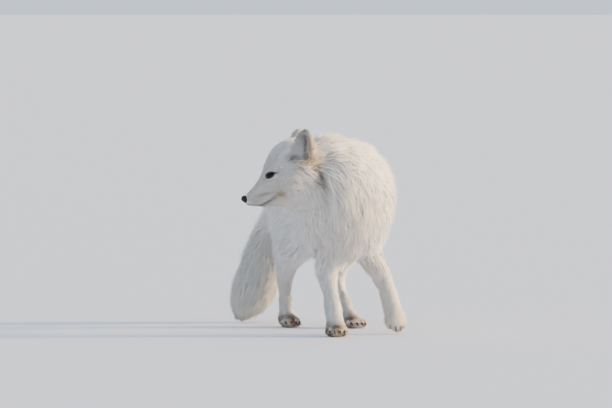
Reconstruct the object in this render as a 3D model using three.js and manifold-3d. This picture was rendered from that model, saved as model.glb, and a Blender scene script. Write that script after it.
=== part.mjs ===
// An arctic fox in its winter coat, life size, caught mid-step with its head turned to its right.
// Millimetres, +Z up. The fox faces -Y and its left side is +X. The solids follow the outside of the coat,
// out to the tips of the hair. One smooth body is meshed piece by piece, and the pieces are parted by thin
// cuts, as the sections of a museum model are. The origin is on the floor, under the middle of the model.
import * as THREE from "three";
import { mergeVertices } from "three/addons/utils/BufferGeometryUtils.js";
import Module from "manifold-3d";

const wasm = await Module();
wasm.setup();

const V = (x, y, z) => new THREE.Vector3(x, y, z);
const radians = THREE.MathUtils.degToRad;
const { clamp, lerp } = THREE.MathUtils;

// ---------- driving dimensions ----------
const chestHalfWidth = 73; // half width of the coat at the ribs
const withersHeight = 317; // top of the coat over the shoulders
const bellyHeight = 119; // lowest hair of the chest
const eyeMiddle = V(-158.5, -128.5, 268); // point midway between the eyes
const headTurn = 102; // degrees to the right of straight ahead
const headDroop = 14; // degrees that the muzzle points below level
const eyeRadius = 9.3;
const eyeOut = 26; // from the middle of the head to the middle of an eyeball
const earLength = 57;
const earHalfWidth = 19;
const earLean = { left: 0.3, right: 0.5 };
const clawLength = 8;
const cutGap = 0.3; // width of the cuts between pieces
const wristHeight = 26; // cut between a standing paw and its leg
const hockHeight = 84;
const legTop = 136; // cut between a leg and the trunk

// mesh size of each kind of piece: the edge of a cell of the meshing grid
const cell = { trunk: 23, tail: 20, leg: 12.8, paw: 8.4, head: 12, jaw: 9 };

// ---------- finishes ----------
const finish = (color, roughness) => new THREE.MeshStandardMaterial({ color, roughness, metalness: 0 });
const bodyCoat = finish(0xe9e6df, 0.95);
const faceCoat = finish(0xe3e1dc, 0.9);
const earCoat = finish(0xb9b2a4, 0.95);
const noseLeather = finish(0x17130f, 0.45);
const eyeBrown = finish(0x2a1408, 0.08);
const clawHorn = finish(0x2e2722, 0.4);

// ---------- fields: negative inside, in millimetres from the surface ----------
// the union of two fields, rounded over the width k
function blend(a, b, k) {
  const h = Math.max(k - Math.abs(a - b), 0) / k;
  return Math.min(a, b) - (h * h * k) / 4;
}

// a chain of round points, each { at, r }, joined by tapering lengths
function limb(p, chain, k) {
  let d = Infinity;
  for (let i = 0; i + 1 < chain.length; i++) {
    const [a, b] = [chain[i], chain[i + 1]];
    const along = b.at.clone().sub(a.at);
    const t = clamp(p.clone().sub(a.at).dot(along) / along.lengthSq(), 0, 1);
    const length = p.distanceTo(a.at.clone().addScaledVector(along, t)) - lerp(a.r, b.r, t);
    d = i === 0 ? length : blend(d, length, k);
  }
  return d;
}

// an egg with its three half sizes along its own axes
function egg(p, centre, half) {
  const q = p.clone().sub(centre).divide(half);
  const size = q.length();
  const slope = q.divide(half).length();
  return slope < 1e-9 ? -Math.min(half.x, half.y, half.z) : (size * (size - 1)) / slope;
}

// a smooth curve through the values that the stations give for a key
function between(stations, i, t, key) {
  const value = (j) => stations[clamp(j, 0, stations.length - 1)][key];
  const [a, b, c, d] = [value(i - 1), value(i), value(i + 1), value(i + 2)];
  return b + 0.5 * t * (c - a + t * (2 * a - 5 * b + 4 * c - d + t * (3 * (b - c) + d - a)));
}

// a form drawn through stations along an axis. Each station has a place s, a middle, a half width, a top, a
// bottom, and the height of its waist, where it is widest.
function stationed(s, x, z, stations) {
  const [first, last] = [stations[0].s, stations[stations.length - 1].s];
  const inside = clamp(s, first, last);
  let i = 0;
  while (i + 2 < stations.length && inside > stations[i + 1].s) i++;
  const t = (inside - stations[i].s) / (stations[i + 1].s - stations[i].s);
  const at = (key) => between(stations, i, t, key);
  const half = Math.max(at("half"), 1);
  const rise = z - at("waist");
  const tall = Math.max(rise > 0 ? at("top") - at("waist") : at("waist") - at("bottom"), 1);
  const across = (Math.hypot((x - at("middle")) / half, rise / tall) - 1) * Math.min(half, tall);
  const past = Math.max(first - s, s - last, 0);
  return past > 0 ? Math.hypot(Math.max(across, 0), past) + Math.min(across, 0) * 0.2 : across;
}

// ---------- trunk ----------
const station = (s, middle, half, top, bottom, waist) => ({ s, middle, half, top, bottom, waist });
const trunkStations = [
  station(-176, -14, 16, 246, 192, 218),
  station(-162, -13, 43, 276, 158, 210),
  station(-135, -11, 62, 302, 130, 207),
  station(-95, -7, chestHalfWidth, withersHeight, bellyHeight, 206),
  station(-40, -3, 73, 313, 118, 208),
  station(25, 0, 71, 305, 121, 210),
  station(85, 0, 73, 301, 129, 212),
  station(135, 0, 76, 298, 134, 210),
  station(178, 0, 68, 286, 150, 212),
  station(206, 0, 47, 264, 176, 218),
  station(220, 0, 18, 240, 202, 220),
];

// the mane over the turned neck, the ruff under the throat, and the loose coat of the right flank
const mane = [
  { at: V(-13, -112, 238), r: 75 },
  { at: V(-48, -136, 255), r: 69 },
  { at: V(-88, -141, 270), r: 59 },
];
const ruff = [
  { at: V(-84, -138, 245), r: 44 },
  { at: V(-48, -140, 205), r: 50 },
  { at: V(-22, -118, 172), r: 46 },
];
const flank = { at: V(-42, 56, 139), r: 27 };

const tail = [
  { at: V(-6, 186, 230), r: 32 },
  { at: V(-22, 208, 192), r: 34 },
  { at: V(-36, 222, 156), r: 36 },
  { at: V(-48, 229, 120), r: 37.5 },
  { at: V(-58, 234, 86), r: 37 },
  { at: V(-70, 239, 54), r: 33 },
  { at: V(-80, 242, 34), r: 26 },
  { at: V(-90, 245, 19), r: 14.5 },
];

// ---------- legs, each from the trunk down ----------
// A paw stands at a point, turned out by some degrees. The left fore paw hangs: it is tipped onto its toes
// and lifted clear of the floor.
const legs = {
  fore_right: {
    chain: [
      { at: V(-42, -108, 176), r: 34 },
      { at: V(-49, -98, 128), r: 22 },
      { at: V(-48, -107, 92), r: 14.6 },
      { at: V(-44, -121, 44), r: 15.2 },
      { at: V(-43, -129, 20), r: 15 },
    ],
    paw: { at: V(-44.5, -138, 0), turn: -12, tip: 0, lift: 0 },
    room: [V(-100, -175, 0), V(-14, -62, 0)],
  },
  fore_left: {
    chain: [
      { at: V(32, -96, 176), r: 28 },
      { at: V(37, -86, 128), r: 20 },
      { at: V(50, -92, 98), r: 15.6 },
      { at: V(60, -102, 64), r: 15.6 },
      { at: V(64, -106, 46), r: 16 },
    ],
    paw: { at: V(61, -100, 0), turn: 12, tip: 50, lift: 7.5 },
    room: [V(14, -175, 0), V(100, -56, 0)],
  },
  hind_right: {
    chain: [
      { at: V(-36, 128, 186), r: 46 },
      { at: V(-46, 98, 140), r: 33 },
      { at: V(-46, 130, 92), r: 15.5 },
      { at: V(-46.5, 137, 76), r: 13 },
      { at: V(-47, 129, 40), r: 12.2 },
      { at: V(-48, 122, 18), r: 13.4 },
    ],
    paw: { at: V(-48.5, 108, 0), turn: 6, tip: 0, lift: 0 },
    room: [V(-100, 60, 0), V(-14, 176, 0)],
  },
  hind_left: {
    chain: [
      { at: V(34, 122, 186), r: 46 },
      { at: V(43, 82, 140), r: 31 },
      { at: V(39, 106, 94), r: 15 },
      { at: V(38, 111, 80), r: 12.6 },
      { at: V(43, 80, 43), r: 12 },
      { at: V(46.5, 66, 20), r: 13.2 },
    ],
    paw: { at: V(48, 50, 0), turn: 10, tip: 0, lift: 0 },
    room: [V(12, 15, 0), V(100, 152, 0)],
  },
};

// a paw in its own frame: toes towards -y, sole at z 0, four toes in an arc round the main pad
const toes = [
  { x: -11.4, reach: -13 },
  { x: -4.2, reach: -18.5 },
  { x: 4.2, reach: -18.5 },
  { x: 11.4, reach: -13 },
];
const longestToe = -22.5;
function pawField(p) {
  let d = egg(p, V(0, 3, 11.5), V(16, 20, 13.5));
  for (const { x, reach } of toes) {
    const toe = [
      { at: V(x * 0.8, 0, 13), r: 8 },
      { at: V(x * 1.08, reach + 3, 9), r: 7.4 },
      { at: V(x * 1.12, reach, 6), r: 6.6 },
    ];
    d = blend(d, limb(p, toe, 8), 3);
  }
  return d;
}

// the frame of a paw, turned out about its middle and tipped about the end of its toes
function pawFrame({ at, turn, tip, lift }) {
  return new THREE.Matrix4()
    .makeTranslation(at.x, at.y, at.z + lift)
    .multiply(new THREE.Matrix4().makeRotationZ(radians(turn)))
    .multiply(new THREE.Matrix4().makeTranslation(0, longestToe, 0))
    .multiply(new THREE.Matrix4().makeRotationX(radians(tip)))
    .multiply(new THREE.Matrix4().makeTranslation(0, -longestToe, 0));
}
for (const leg of Object.values(legs)) {
  leg.frame = pawFrame(leg.paw);
  leg.inverse = leg.frame.clone().invert();
}
const legField = (p, leg) =>
  blend(limb(p, leg.chain, 10), pawField(p.clone().applyMatrix4(leg.inverse)), 9);

// ---------- head, in its own frame: muzzle towards -y, left is +x, origin between the eyes ----------
const headFrame = new THREE.Matrix4()
  .makeTranslation(eyeMiddle.x, eyeMiddle.y, eyeMiddle.z)
  .multiply(new THREE.Matrix4().makeRotationZ(radians(-headTurn)))
  .multiply(new THREE.Matrix4().makeRotationX(radians(headDroop)));
const headInverse = headFrame.clone().invert();

const skullStations = [
  station(-50, 0, 8, -23.5, -40, -33),
  station(-44, 0, 12, -21.5, -43.5, -33.5),
  station(-34, 0, 14.5, -15, -47, -33),
  station(-22, 0, 18.5, -6, -50, -29),
  station(-12, 0, 24, 4, -52, -22),
  station(-3, 0, 31, 19, -53.5, -12),
  station(8, 0, 39, 34, -55, -8),
  station(22, 0, 48, 45, -57, -8),
  station(42, 0, 55, 52, -56, -6),
  station(64, 0, 54, 52, -50, -4),
  station(84, 0, 44, 44, -38, 0),
];
function headField(p) {
  const q = p.clone().applyMatrix4(headInverse);
  let d = stationed(q.y, q.x, q.z, skullStations);
  const half = V(Math.abs(q.x), q.y, q.z);
  d = blend(d, egg(half, V(34, 34, -24), V(24, 27, 29)), 12); // cheek ruff
  return blend(d, egg(half, V(18, 3, 10), V(8, 9, 6)), 7); // brow
}

// ---------- the whole body ----------
function body(p) {
  let d = blend(stationed(p.y, p.x, p.z, trunkStations), limb(p, mane, 30), 34);
  d = blend(d, limb(p, ruff, 24), 26);
  d = blend(d, headField(p), 18);
  d = blend(d, limb(p, tail, 12), 16);
  d = blend(d, p.distanceTo(flank.at) - flank.r, 20);
  for (const leg of Object.values(legs)) d = blend(d, legField(p, leg), 10);
  return d;
}
const extent = new THREE.Box3(V(-225, -225, -12), V(110, 325, 375)); // nothing of the fox is outside this

// ---------- meshing ----------
const cubeFaces = [
  [0, 1, 3, 2],
  [4, 5, 7, 6],
  [0, 1, 5, 4],
  [2, 3, 7, 6],
  [0, 2, 6, 4],
  [1, 3, 7, 5],
];

// A cube of samples whose corners disagree across a diagonal would pinch the surface. One of its corners is
// moved just inside, and this goes on until no such cube is left.
function settle(value, cubes, corners, small) {
  const inside = (m) => value[m] < 0;
  const nearer = (a, b) => (Math.abs(value[a]) < Math.abs(value[b]) ? a : b);
  for (let changed = true; changed; ) {
    changed = false;
    for (const cube of cubes) {
      const c = corners(cube);
      const count = c.filter(inside).length;
      if (count < 2 || count > 6) continue;
      for (const face of cubeFaces) {
        const [a, b, d, e] = face.map((m) => c[m]);
        if (inside(a) !== inside(d) || inside(b) !== inside(e) || inside(a) === inside(b)) continue;
        value[inside(a) ? nearer(b, e) : nearer(a, d)] = -small;
        changed = true;
      }
      for (const first of [0, 1, 2, 3]) {
        const pair = [c[first], c[7 - first]];
        const others = c.filter((m) => !pair.includes(m));
        if (inside(pair[0]) !== inside(pair[1])) continue;
        if (others.some((m) => inside(m) === inside(pair[0]))) continue;
        value[inside(pair[0]) ? others.reduce(nearer) : pair[0]] = -small;
        changed = true;
      }
    }
  }
}

// moves a point onto the surface of a field
function ontoSurface(p, field, size) {
  const h = 0.4;
  for (let pass = 0; pass < 3; pass++) {
    const f = field(p);
    const slope = V(field(V(p.x + h, p.y, p.z)), field(V(p.x, p.y + h, p.z)), field(V(p.x, p.y, p.z + h)));
    slope.subScalar(f).divideScalar(h);
    const step = clamp(-f / Math.max(slope.lengthSq(), 0.2), -size * 0.3, size * 0.3);
    p.addScaledVector(slope, step * 0.9);
  }
}

// A closed mesh of a field inside a box: one point in each cell that the surface crosses, and a four-sided
// face round each grid edge that it crosses.
function meshField(field, box, size) {
  const count = box.getSize(V(0, 0, 0)).divideScalar(size).ceil().addScalar(3);
  const index = (i, j, k) => i + count.x * (j + count.y * k);
  const at = (i, j, k) => V(i - 1, j - 1, k - 1).multiplyScalar(size).add(box.min);
  const value = new Float32Array(count.x * count.y * count.z);
  const cubes = [];
  for (let k = 0; k < count.z; k++)
    for (let j = 0; j < count.y; j++)
      for (let i = 0; i < count.x; i++) {
        const low = i === 0 || j === 0 || k === 0;
        const high = i === count.x - 1 || j === count.y - 1 || k === count.z - 1;
        value[index(i, j, k)] = low || high ? size : field(at(i, j, k));
        if (!high) cubes.push([i, j, k]);
      }
  const bits = [0, 1, 2, 3, 4, 5, 6, 7].map((c) => [c & 1, (c >> 1) & 1, c >> 2]);
  const corners = ([i, j, k]) => bits.map(([x, y, z]) => index(i + x, j + y, k + z));
  settle(value, cubes, corners, size * 0.02);

  const points = [];
  const pointOf = new Map();
  const inner = box.clone().expandByScalar(-0.01);
  for (const cube of cubes) {
    const c = corners(cube);
    const crossings = [];
    bits.forEach((from, m) => {
      for (const axis of [0, 1, 2]) {
        const n = m + (1 << axis);
        if (from[axis] || value[c[m]] < 0 === value[c[n]] < 0) continue;
        const place = (b) => at(...b.map((step, n) => cube[n] + step));
        crossings.push(place(from).lerp(place(bits[n]), value[c[m]] / (value[c[m]] - value[c[n]])));
      }
    });
    if (!crossings.length) continue;
    const point = crossings.reduce((sum, crossing) => sum.add(crossing), V(0, 0, 0));
    point.divideScalar(crossings.length);
    if (inner.containsPoint(point)) ontoSurface(point, field, size);
    pointOf.set(index(...cube), points.push(point) - 1);
  }

  const unit = [
    [1, 0, 0],
    [0, 1, 0],
    [0, 0, 1],
  ];
  const faces = [];
  for (const [i, j, k] of cubes)
    for (const axis of [0, 1, 2]) {
      const [a, b] = [index(i, j, k), index(i, j, k) + index(...unit[axis])];
      if (value[a] < 0 === value[b] < 0) continue;
      const [s, t] = [index(...unit[(axis + 1) % 3]), index(...unit[(axis + 2) % 3])];
      const ring = [a, a - s, a - s - t, a - t].map((m) => pointOf.get(m));
      if (value[a] >= 0) ring.reverse();
      faces.push(ring[0], ring[1], ring[2], ring[0], ring[2], ring[3]);
    }
  const geometry = new THREE.BufferGeometry().setFromPoints(points);
  geometry.setIndex(faces);
  return geometry;
}

// ---------- solids ----------
function solidOf(geometry) {
  const bare = geometry.clone();
  bare.deleteAttribute("normal");
  bare.deleteAttribute("uv");
  const merged = mergeVertices(bare, 1e-4);
  const vertProperties = merged.attributes.position.array;
  return new wasm.Manifold(
    new wasm.Mesh({ numProp: 3, vertProperties, triVerts: new Uint32Array(merged.index.array) }),
  );
}
function geometryOf(solid) {
  const { vertProperties, triVerts } = solid.getMesh();
  const geometry = new THREE.BufferGeometry();
  geometry.setAttribute("position", new THREE.BufferAttribute(vertProperties, 3));
  return geometry.setIndex(new THREE.BufferAttribute(triVerts, 1));
}
// the largest body of a solid, so that a sliver left by a cut is dropped
const largest = (solid) => solid.decompose().reduce((a, b) => (a.volume() > b.volume() ? a : b));

// a shape to cut with: a box of a size in a frame
const block = ({ size, frame }, grow = 0) =>
  solidOf(new THREE.BoxGeometry(...size.clone().addScalar(2 * grow)).applyMatrix4(frame));
const boxBetween = (low, high) => ({
  size: high.clone().sub(low),
  frame: new THREE.Matrix4().setPosition(low.clone().add(high).multiplyScalar(0.5)),
});
// the box that holds what lies beyond a point, along a direction
function beyond(at, direction, width, reach) {
  const along = direction.clone().normalize();
  const turn = new THREE.Quaternion().setFromUnitVectors(V(0, 0, -1), along);
  const frame = new THREE.Matrix4().makeRotationFromQuaternion(turn);
  frame.setPosition(at.clone().addScaledVector(along, reach / 2));
  return { size: V(width, width, reach), frame };
}

// an egg as a mesh, in a frame
function eggMesh(at, half, frame, grow, around = 12, down = 7) {
  return new THREE.SphereGeometry(1, around, down)
    .applyMatrix4(new THREE.Matrix4().makeScale(half.x + grow, half.y + grow, half.z + grow))
    .applyMatrix4(new THREE.Matrix4().makeTranslation(at.x, at.y, at.z))
    .applyMatrix4(frame);
}

// ---------- the model ----------
const fox = new THREE.Group();
const taken = []; // what is already used, grown by the gap

function addMesh(name, geometry, material) {
  const mesh = new THREE.Mesh(geometry, material);
  mesh.name = name;
  fox.add(mesh);
}
// a small hard piece: the flesh is cut round it later
function addHard(name, shape, material) {
  addMesh(name, shape(0), material);
  taken.push(solidOf(shape(cutGap)));
}
// a piece of the body: what is inside a shape and not yet used
function addFlesh(name, shape, size, material) {
  const whole = block(shape);
  const reach = whole.boundingBox();
  const box = new THREE.Box3(V(...reach.min), V(...reach.max)).intersect(extent).expandByScalar(size);
  let solid = solidOf(meshField(body, box, size)).intersect(whole);
  for (const other of taken) solid = solid.subtract(other);
  addMesh(name, geometryOf(largest(solid)), material);
  taken.push(block(shape, cutGap));
}

// eyes and nose
const sides = { left: 1, right: -1 };
for (const [side, sign] of Object.entries(sides)) {
  const half = V(eyeRadius, eyeRadius, eyeRadius);
  addHard(`eye_${side}`, (grow) => eggMesh(V(sign * eyeOut, 4.6, 0.6), half, headFrame, grow), eyeBrown);
}
const nosePad = (grow) => eggMesh(V(0, -47.5, -29), V(7.6, 6.2, 6.6), headFrame, grow, 10, 6);
addHard("nose", nosePad, noseLeather);

// an ear: a cup of furred skin that opens forward and out
for (const [side, sign] of Object.entries(sides)) {
  const up = V(sign * earLean[side], 0.34, 0.9).normalize();
  const open = V(sign * 0.8, -0.6, 0).projectOnPlane(up).normalize();
  const frame = new THREE.Matrix4().makeBasis(open.clone().cross(up), open, up);
  frame.setPosition(sign * 37, 57, 14).premultiply(headFrame);
  const outer = (grow) => eggMesh(V(0, 0, 8), V(earHalfWidth, 11.5, earLength - 12), frame, grow, 14, 9);
  const hollow = eggMesh(V(0, 8.5, 12), V(earHalfWidth - 5, 11, earLength - 21), frame, 0, 12, 8);
  const above = new THREE.Matrix4().setPosition(0, 0, 36);
  const rooted = { size: V(60, 50, 60), frame: frame.clone().multiply(above) };
  const cup = solidOf(outer(0)).subtract(solidOf(hollow)).intersect(block(rooted));
  addMesh(`ear_${side}`, geometryOf(largest(cup)), earCoat);
  taken.push(solidOf(outer(cutGap)).intersect(block(rooted, cutGap)));
}

// a claw tapers forward and down from the end of a toe
function claw({ x, reach }, grow) {
  const root = V(x * 1.12, reach - 3.2, 9.2);
  const rings = [
    { at: V(0, grow, 0), r: 2.1 },
    { at: V(0, -clawLength * 0.55, -0.8), r: 1.7 },
    { at: V(0, -clawLength - grow, -4.2), r: 0.5 },
  ];
  const around = 5;
  const points = rings.flatMap(({ at, r }) =>
    Array.from({ length: around }, (_, n) => {
      const angle = (n / around) * 2 * Math.PI;
      const out = V(0.8 * Math.cos(angle), 0, Math.sin(angle)).multiplyScalar(r + grow);
      return root.clone().add(at).add(out);
    }),
  );
  const faces = [];
  for (let ring = 0; ring + 1 < rings.length; ring++)
    for (let n = 0; n < around; n++) {
      const [a, b] = [ring * around + n, ring * around + ((n + 1) % around)];
      faces.push(a, b, b + around, a, b + around, a + around);
    }
  const end = (rings.length - 1) * around;
  for (let n = 1; n + 1 < around; n++) faces.push(0, n + 1, n, end, end + n, end + n + 1);
  const geometry = new THREE.BufferGeometry().setFromPoints(points);
  geometry.setIndex(faces);
  return geometry;
}
for (const [name, leg] of Object.entries(legs))
  toes.forEach((toe, n) => {
    addHard(`claw_${name}_${n + 1}`, (grow) => claw(toe, grow).applyMatrix4(leg.frame), clawHorn);
  });

// paws and legs, from the floor up
for (const [name, leg] of Object.entries(legs)) {
  const slab = (low, high) => boxBetween(leg.room[0].clone().setZ(low), leg.room[1].clone().setZ(high));
  const pawTop = leg.paw.lift > 0 ? 44 : wristHeight;
  const lengths = name.startsWith("fore")
    ? [["forepaw", 0, pawTop], ["foreleg", pawTop, legTop]]
    : [["hindpaw", 0, pawTop], ["hindfoot", pawTop, hockHeight], ["hindleg", hockHeight, legTop]];
  for (const [piece, low, high] of lengths) {
    const size = low === 0 ? cell.paw : cell.leg;
    addFlesh(name.replace(/fore|hind/, piece), slab(low, high), size, bodyCoat);
  }
}

// tail, in three lengths from the tip
function tailBeyond(i, share, width, reach) {
  const [here, next] = [tail[i].at, tail[i + 1].at];
  return beyond(here.clone().lerp(next, share), next.clone().sub(here), width, reach);
}
addFlesh("tail_tip", tailBeyond(4, 0.2, 150, 200), cell.tail, bodyCoat);
addFlesh("tail_middle", tailBeyond(2, 0.1, 130, 80), cell.tail, bodyCoat);
addFlesh("tail_base", tailBeyond(1, 0, 86, 60), cell.tail, bodyCoat);

// lower jaw, head and neck
const inHead = (at) => headFrame.clone().multiply(new THREE.Matrix4().setPosition(at));
const jawFrame = inHead(V(0, -16, -50.5)).multiply(new THREE.Matrix4().makeRotationX(radians(10)));
addFlesh("lower_jaw", { size: V(44, 54, 22), frame: jawFrame }, cell.jaw, faceCoat);
addFlesh("head", { size: V(150, 154, 150), frame: inHead(V(0, 5, 0)) }, cell.head, faceCoat);
addFlesh("neck", beyond(V(-34, -116, 240), V(-0.78, -0.56, 0.28), 320, 200), cell.trunk, bodyCoat);

// trunk, in three lengths
addFlesh("rump", boxBetween(V(-130, 78, 20), V(130, 300, 400)), cell.trunk, bodyCoat);
addFlesh("loin", boxBetween(V(-130, -30, 20), V(130, 78, 400)), cell.trunk, bodyCoat);
addFlesh("chest", boxBetween(V(-160, -230, 20), V(130, -30, 400)), cell.trunk, bodyCoat);

// the origin goes under the middle of the model
const bounds = new THREE.Box3().setFromObject(fox);
const middle = bounds.getCenter(V(0, 0, 0));
fox.position.set(-middle.x, -middle.y, 0);

const model = new THREE.Group();
model.add(fox);
export default model;
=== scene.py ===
import bpy
import bmesh
import math
import numpy as np
from mathutils import Matrix, Vector, noise
from mathutils.bvhtree import BVHTree
from mathutils.kdtree import KDTree


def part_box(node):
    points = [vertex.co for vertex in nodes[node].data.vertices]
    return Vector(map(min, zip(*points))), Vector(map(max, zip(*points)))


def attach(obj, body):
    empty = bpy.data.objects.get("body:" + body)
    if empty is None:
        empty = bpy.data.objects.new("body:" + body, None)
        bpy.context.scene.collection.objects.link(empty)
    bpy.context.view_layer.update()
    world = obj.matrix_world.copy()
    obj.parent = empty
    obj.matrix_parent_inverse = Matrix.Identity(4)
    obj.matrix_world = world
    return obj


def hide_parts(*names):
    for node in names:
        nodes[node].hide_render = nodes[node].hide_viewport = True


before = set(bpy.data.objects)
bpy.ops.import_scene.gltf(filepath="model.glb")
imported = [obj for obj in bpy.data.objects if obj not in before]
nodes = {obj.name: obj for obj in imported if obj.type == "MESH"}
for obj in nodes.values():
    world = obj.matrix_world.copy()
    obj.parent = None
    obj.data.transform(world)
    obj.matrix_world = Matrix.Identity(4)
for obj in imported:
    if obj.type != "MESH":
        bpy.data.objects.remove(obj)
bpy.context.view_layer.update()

scene = bpy.context.scene
rng = np.random.default_rng(17)


# places: the head's own frame, and the frame the body was drawn in, both found from the eyes
head = {
    "turn": -102.0,  # degrees about Z
    "droop": 14.0,
    "eyeBack": 0.0046,
    "eyeUp": 0.0006,
    "drawnAt": (-158.5, -128.5, 268.0),  # where the head was drawn, in mm
}


def boxMiddle(name):
    low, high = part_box(name)
    return (low + high) / 2


headTurn = Matrix.Rotation(math.radians(head["turn"]), 4, "Z")
headTurn = headTurn @ Matrix.Rotation(math.radians(head["droop"]), 4, "X")
headAt = (boxMiddle("eye_left") + boxMiddle("eye_right")) / 2
headAt = headAt - headTurn.to_3x3() @ Vector((0, head["eyeBack"], head["eyeUp"]))
headFrame = Matrix.Translation(headAt) @ headTurn
headInverse = headFrame.inverted()
drawnShift = np.array(headAt) - np.array(head["drawnAt"]) / 1000


def drawn(points):  # millimetres in the frame the body was drawn in, to metres in the row frame
    return np.asarray(points, float) / 1000 + drawnShift


def inHead(points):  # row frame to head frame, in metres
    m = np.array(headInverse)
    return np.asarray(points, float) @ m[:3, :3].T + m[:3, 3]


def fromHead(points, asDirection=False):  # head frame to row frame
    m = np.array(headFrame)
    out = np.asarray(points, float) @ m[:3, :3].T
    return out if asDirection else out + m[:3, 3]


def unit(v):
    return v / np.maximum(np.linalg.norm(v, axis=-1, keepdims=True), 1e-12)


def smoothStep(low, high, x):
    t = np.clip((x - low) / (high - low), 0, 1)
    return t * t * (3 - 2 * t)


# camera, lights and floor
camera = {
    "azimuth": -18.0, "elevation": 2.39, "distance": 8.0,
    "aim": (0, 0, 212.9), "aimRight": -0.0492,  # drawn frame in mm, then metres to the right
    "perPixel": 0.00168, "imageWidth": 612, "sensor": 36, "clipEnd": 800,
}
lights = {  # azimuth, elevation, strength, softness in degrees, colour
    "sunSide": (77, 9, 12.5, 12, (1.0, 0.72, 0.44)),
    "skySide": (-60, 25, 0.16, 60, (0.84, 0.91, 1.0)),
}
sky = {"color": (0.77, 0.86, 1.0), "strength": 1.17}
floorPaint = {
    "radius": 2.5, "segments": 96, "rims": (6, 20, 70, 260), "grain": 60, "roughness": 0.9,
    "low": (0.75, 0.80, 0.89, 1), "high": (0.79, 0.84, 0.93, 1),
}


def backWay(azimuth, elevation):  # from the fox towards the camera or light
    a, e = math.radians(azimuth), math.radians(elevation)
    return Vector((math.sin(a) * math.cos(e), -math.cos(a) * math.cos(e), math.sin(e)))


def link(obj):
    scene.collection.objects.link(obj)
    return obj


def placeLooking(name, data, location, back):
    obj = bpy.data.objects.new(name, data)
    obj.location = location
    obj.rotation_euler = (-back).to_track_quat("-Z", "Y").to_euler()
    return link(obj)


def makeCamera(c):
    turn = math.radians(c["azimuth"])
    back = backWay(c["azimuth"], c["elevation"])
    aim = Vector(drawn(c["aim"]).tolist()) + Vector((math.cos(turn), math.sin(turn), 0)) * c["aimRight"]
    data = bpy.data.cameras.new("camera")
    data.sensor_width = c["sensor"]
    data.lens = c["sensor"] * c["distance"] / (c["imageWidth"] * c["perPixel"])
    data.clip_end = c["clipEnd"]
    scene.camera = placeLooking("camera", data, aim + back * c["distance"], back)


def makeLight(name, azimuth, elevation, strength, softness, color):
    back = backWay(azimuth, elevation)
    data = bpy.data.lights.new(name, "SUN")
    data.energy = strength
    data.angle = math.radians(softness)
    data.color = color
    placeLooking(name, data, back * 3, back)


def makeWorld(color, strength):
    world = bpy.data.worlds.new("sky")
    world.use_nodes = True
    world.node_tree.nodes["Background"].inputs["Color"].default_value = (*color, 1)
    world.node_tree.nodes["Background"].inputs["Strength"].default_value = strength
    scene.world = world


def finishPiece(obj, slot, *replaced):
    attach(obj, "root")
    if replaced:
        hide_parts(*replaced)


def nodeMaterial(name):
    material = bpy.data.materials.new(name)
    material.use_nodes = True
    tree = material.node_tree
    return material, tree, tree.nodes["Principled BSDF"]


def addNode(tree, kind, **values):  # a shader node with its sockets set
    node = tree.nodes.new("ShaderNode" + kind)
    for socket, value in values.items():
        node.inputs[socket].default_value = value
    return node


def meshFrom(bm, name, smooth=False):
    mesh = bpy.data.meshes.new(name)
    bm.to_mesh(mesh)
    bm.free()
    if smooth:
        for p in mesh.polygons:
            p.use_smooth = True
    return mesh


def makeFloor(c):
    bm = bmesh.new()
    bmesh.ops.create_circle(bm, cap_ends=True, radius=c["radius"], segments=c["segments"])
    for width in c["rims"]:
        rim = [e for e in bm.edges if e.is_boundary]
        ring = bmesh.ops.extrude_edge_only(bm, edges=rim)["geom"]
        for v in ring:
            if isinstance(v, bmesh.types.BMVert):
                v.co = v.co.normalized() * width
    mesh = meshFrom(bm, "floor")
    floor = link(bpy.data.objects.new("floor", mesh))
    material, tree, shader = nodeMaterial("paleFloor")
    coord = addNode(tree, "TexCoord")
    grain = addNode(tree, "TexNoise", Scale=c["grain"], Detail=3)
    ramp = addNode(tree, "ValToRGB")
    ramp.color_ramp.elements[0].color = c["low"]
    ramp.color_ramp.elements[1].color = c["high"]
    tree.links.new(coord.outputs["Object"], grain.inputs["Vector"])
    tree.links.new(grain.outputs["Fac"], ramp.inputs["Fac"])
    tree.links.new(ramp.outputs["Color"], shader.inputs["Base Color"])
    shader.inputs["Roughness"].default_value = c["roughness"]
    mesh.materials.append(material)


makeCamera(camera)
makeFloor(floorPaint)
for name, values in lights.items():
    makeLight(name, *values)
makeWorld(sky["color"], sky["strength"])
print("stage ready")


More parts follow.
